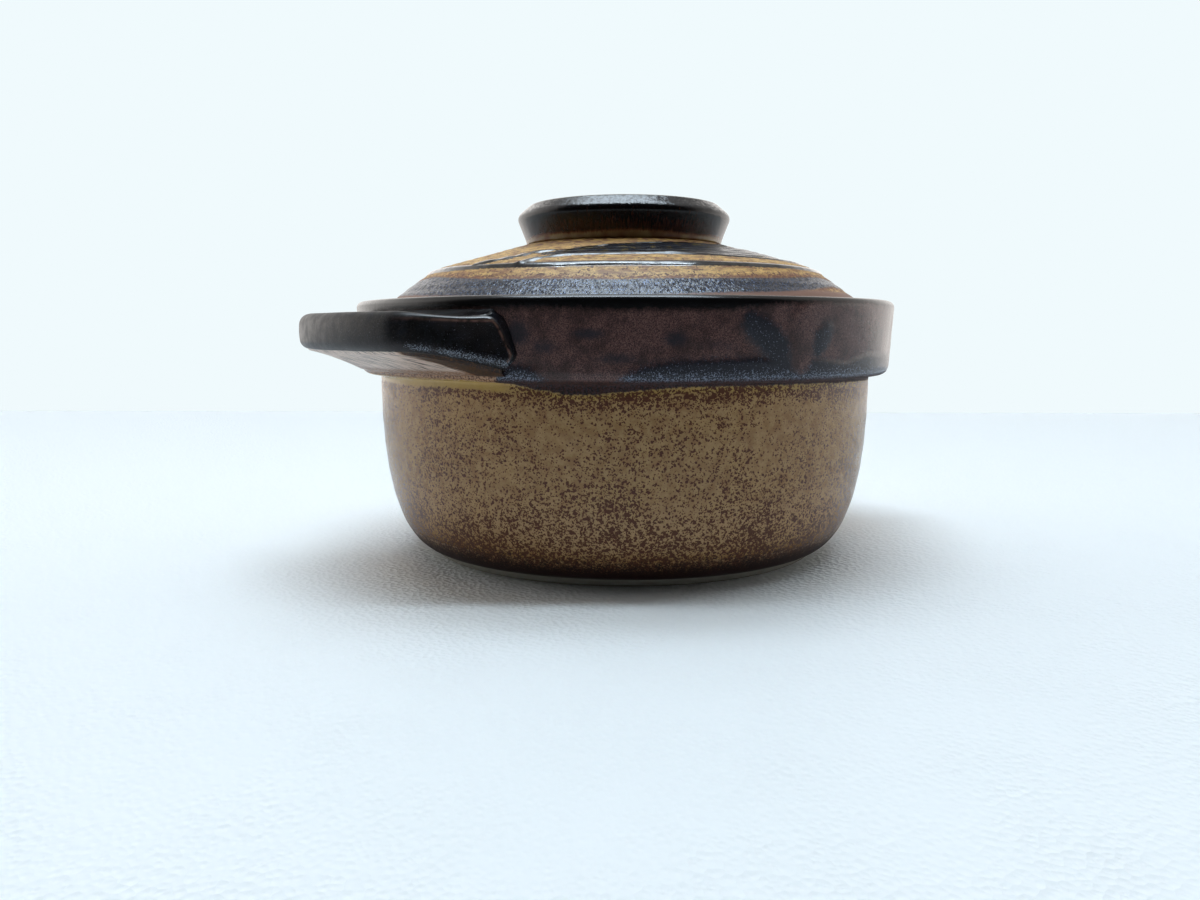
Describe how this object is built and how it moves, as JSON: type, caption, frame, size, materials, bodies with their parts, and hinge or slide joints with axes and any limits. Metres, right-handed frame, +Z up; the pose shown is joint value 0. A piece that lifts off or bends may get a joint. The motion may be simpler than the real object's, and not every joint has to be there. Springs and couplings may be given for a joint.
{
  "type": "stoneware casserole",
  "caption": "Round stoneware casserole with lug ears on a thick collar, and a domed lid with a hollow ring knob that sits inside the collar and lifts off.",
  "frame": {"origin": "middle of the foot ring, on the table", "axes": "+Z up along the pot's axis, +X towards one ear (ear_right), ear_left on -X"},
  "size_m": [0.188, 0.1564, 0.1004],
  "materials": {
    "pot_glaze": "satin olive-ochre glaze with iron specks",
    "ear_glaze": "glossy iron-black glaze",
    "lid_glaze": "satin ochre glaze with dark rings",
    "knob_glaze": "glossy brown-black glaze"
  },
  "bodies": {
    "pot": {"pot": "pot_glaze", "ear_left": "ear_glaze", "ear_right": "ear_glaze"},
    "lid": {"lid": "lid_glaze", "lid_knob": "knob_glaze"}
  },
  "joints": [
    {"name": "lid_lift", "type": "slide", "parent": "pot", "child": "lid", "axis": [0, 0, 1], "range_m": [0, 0.12]}
  ]
}
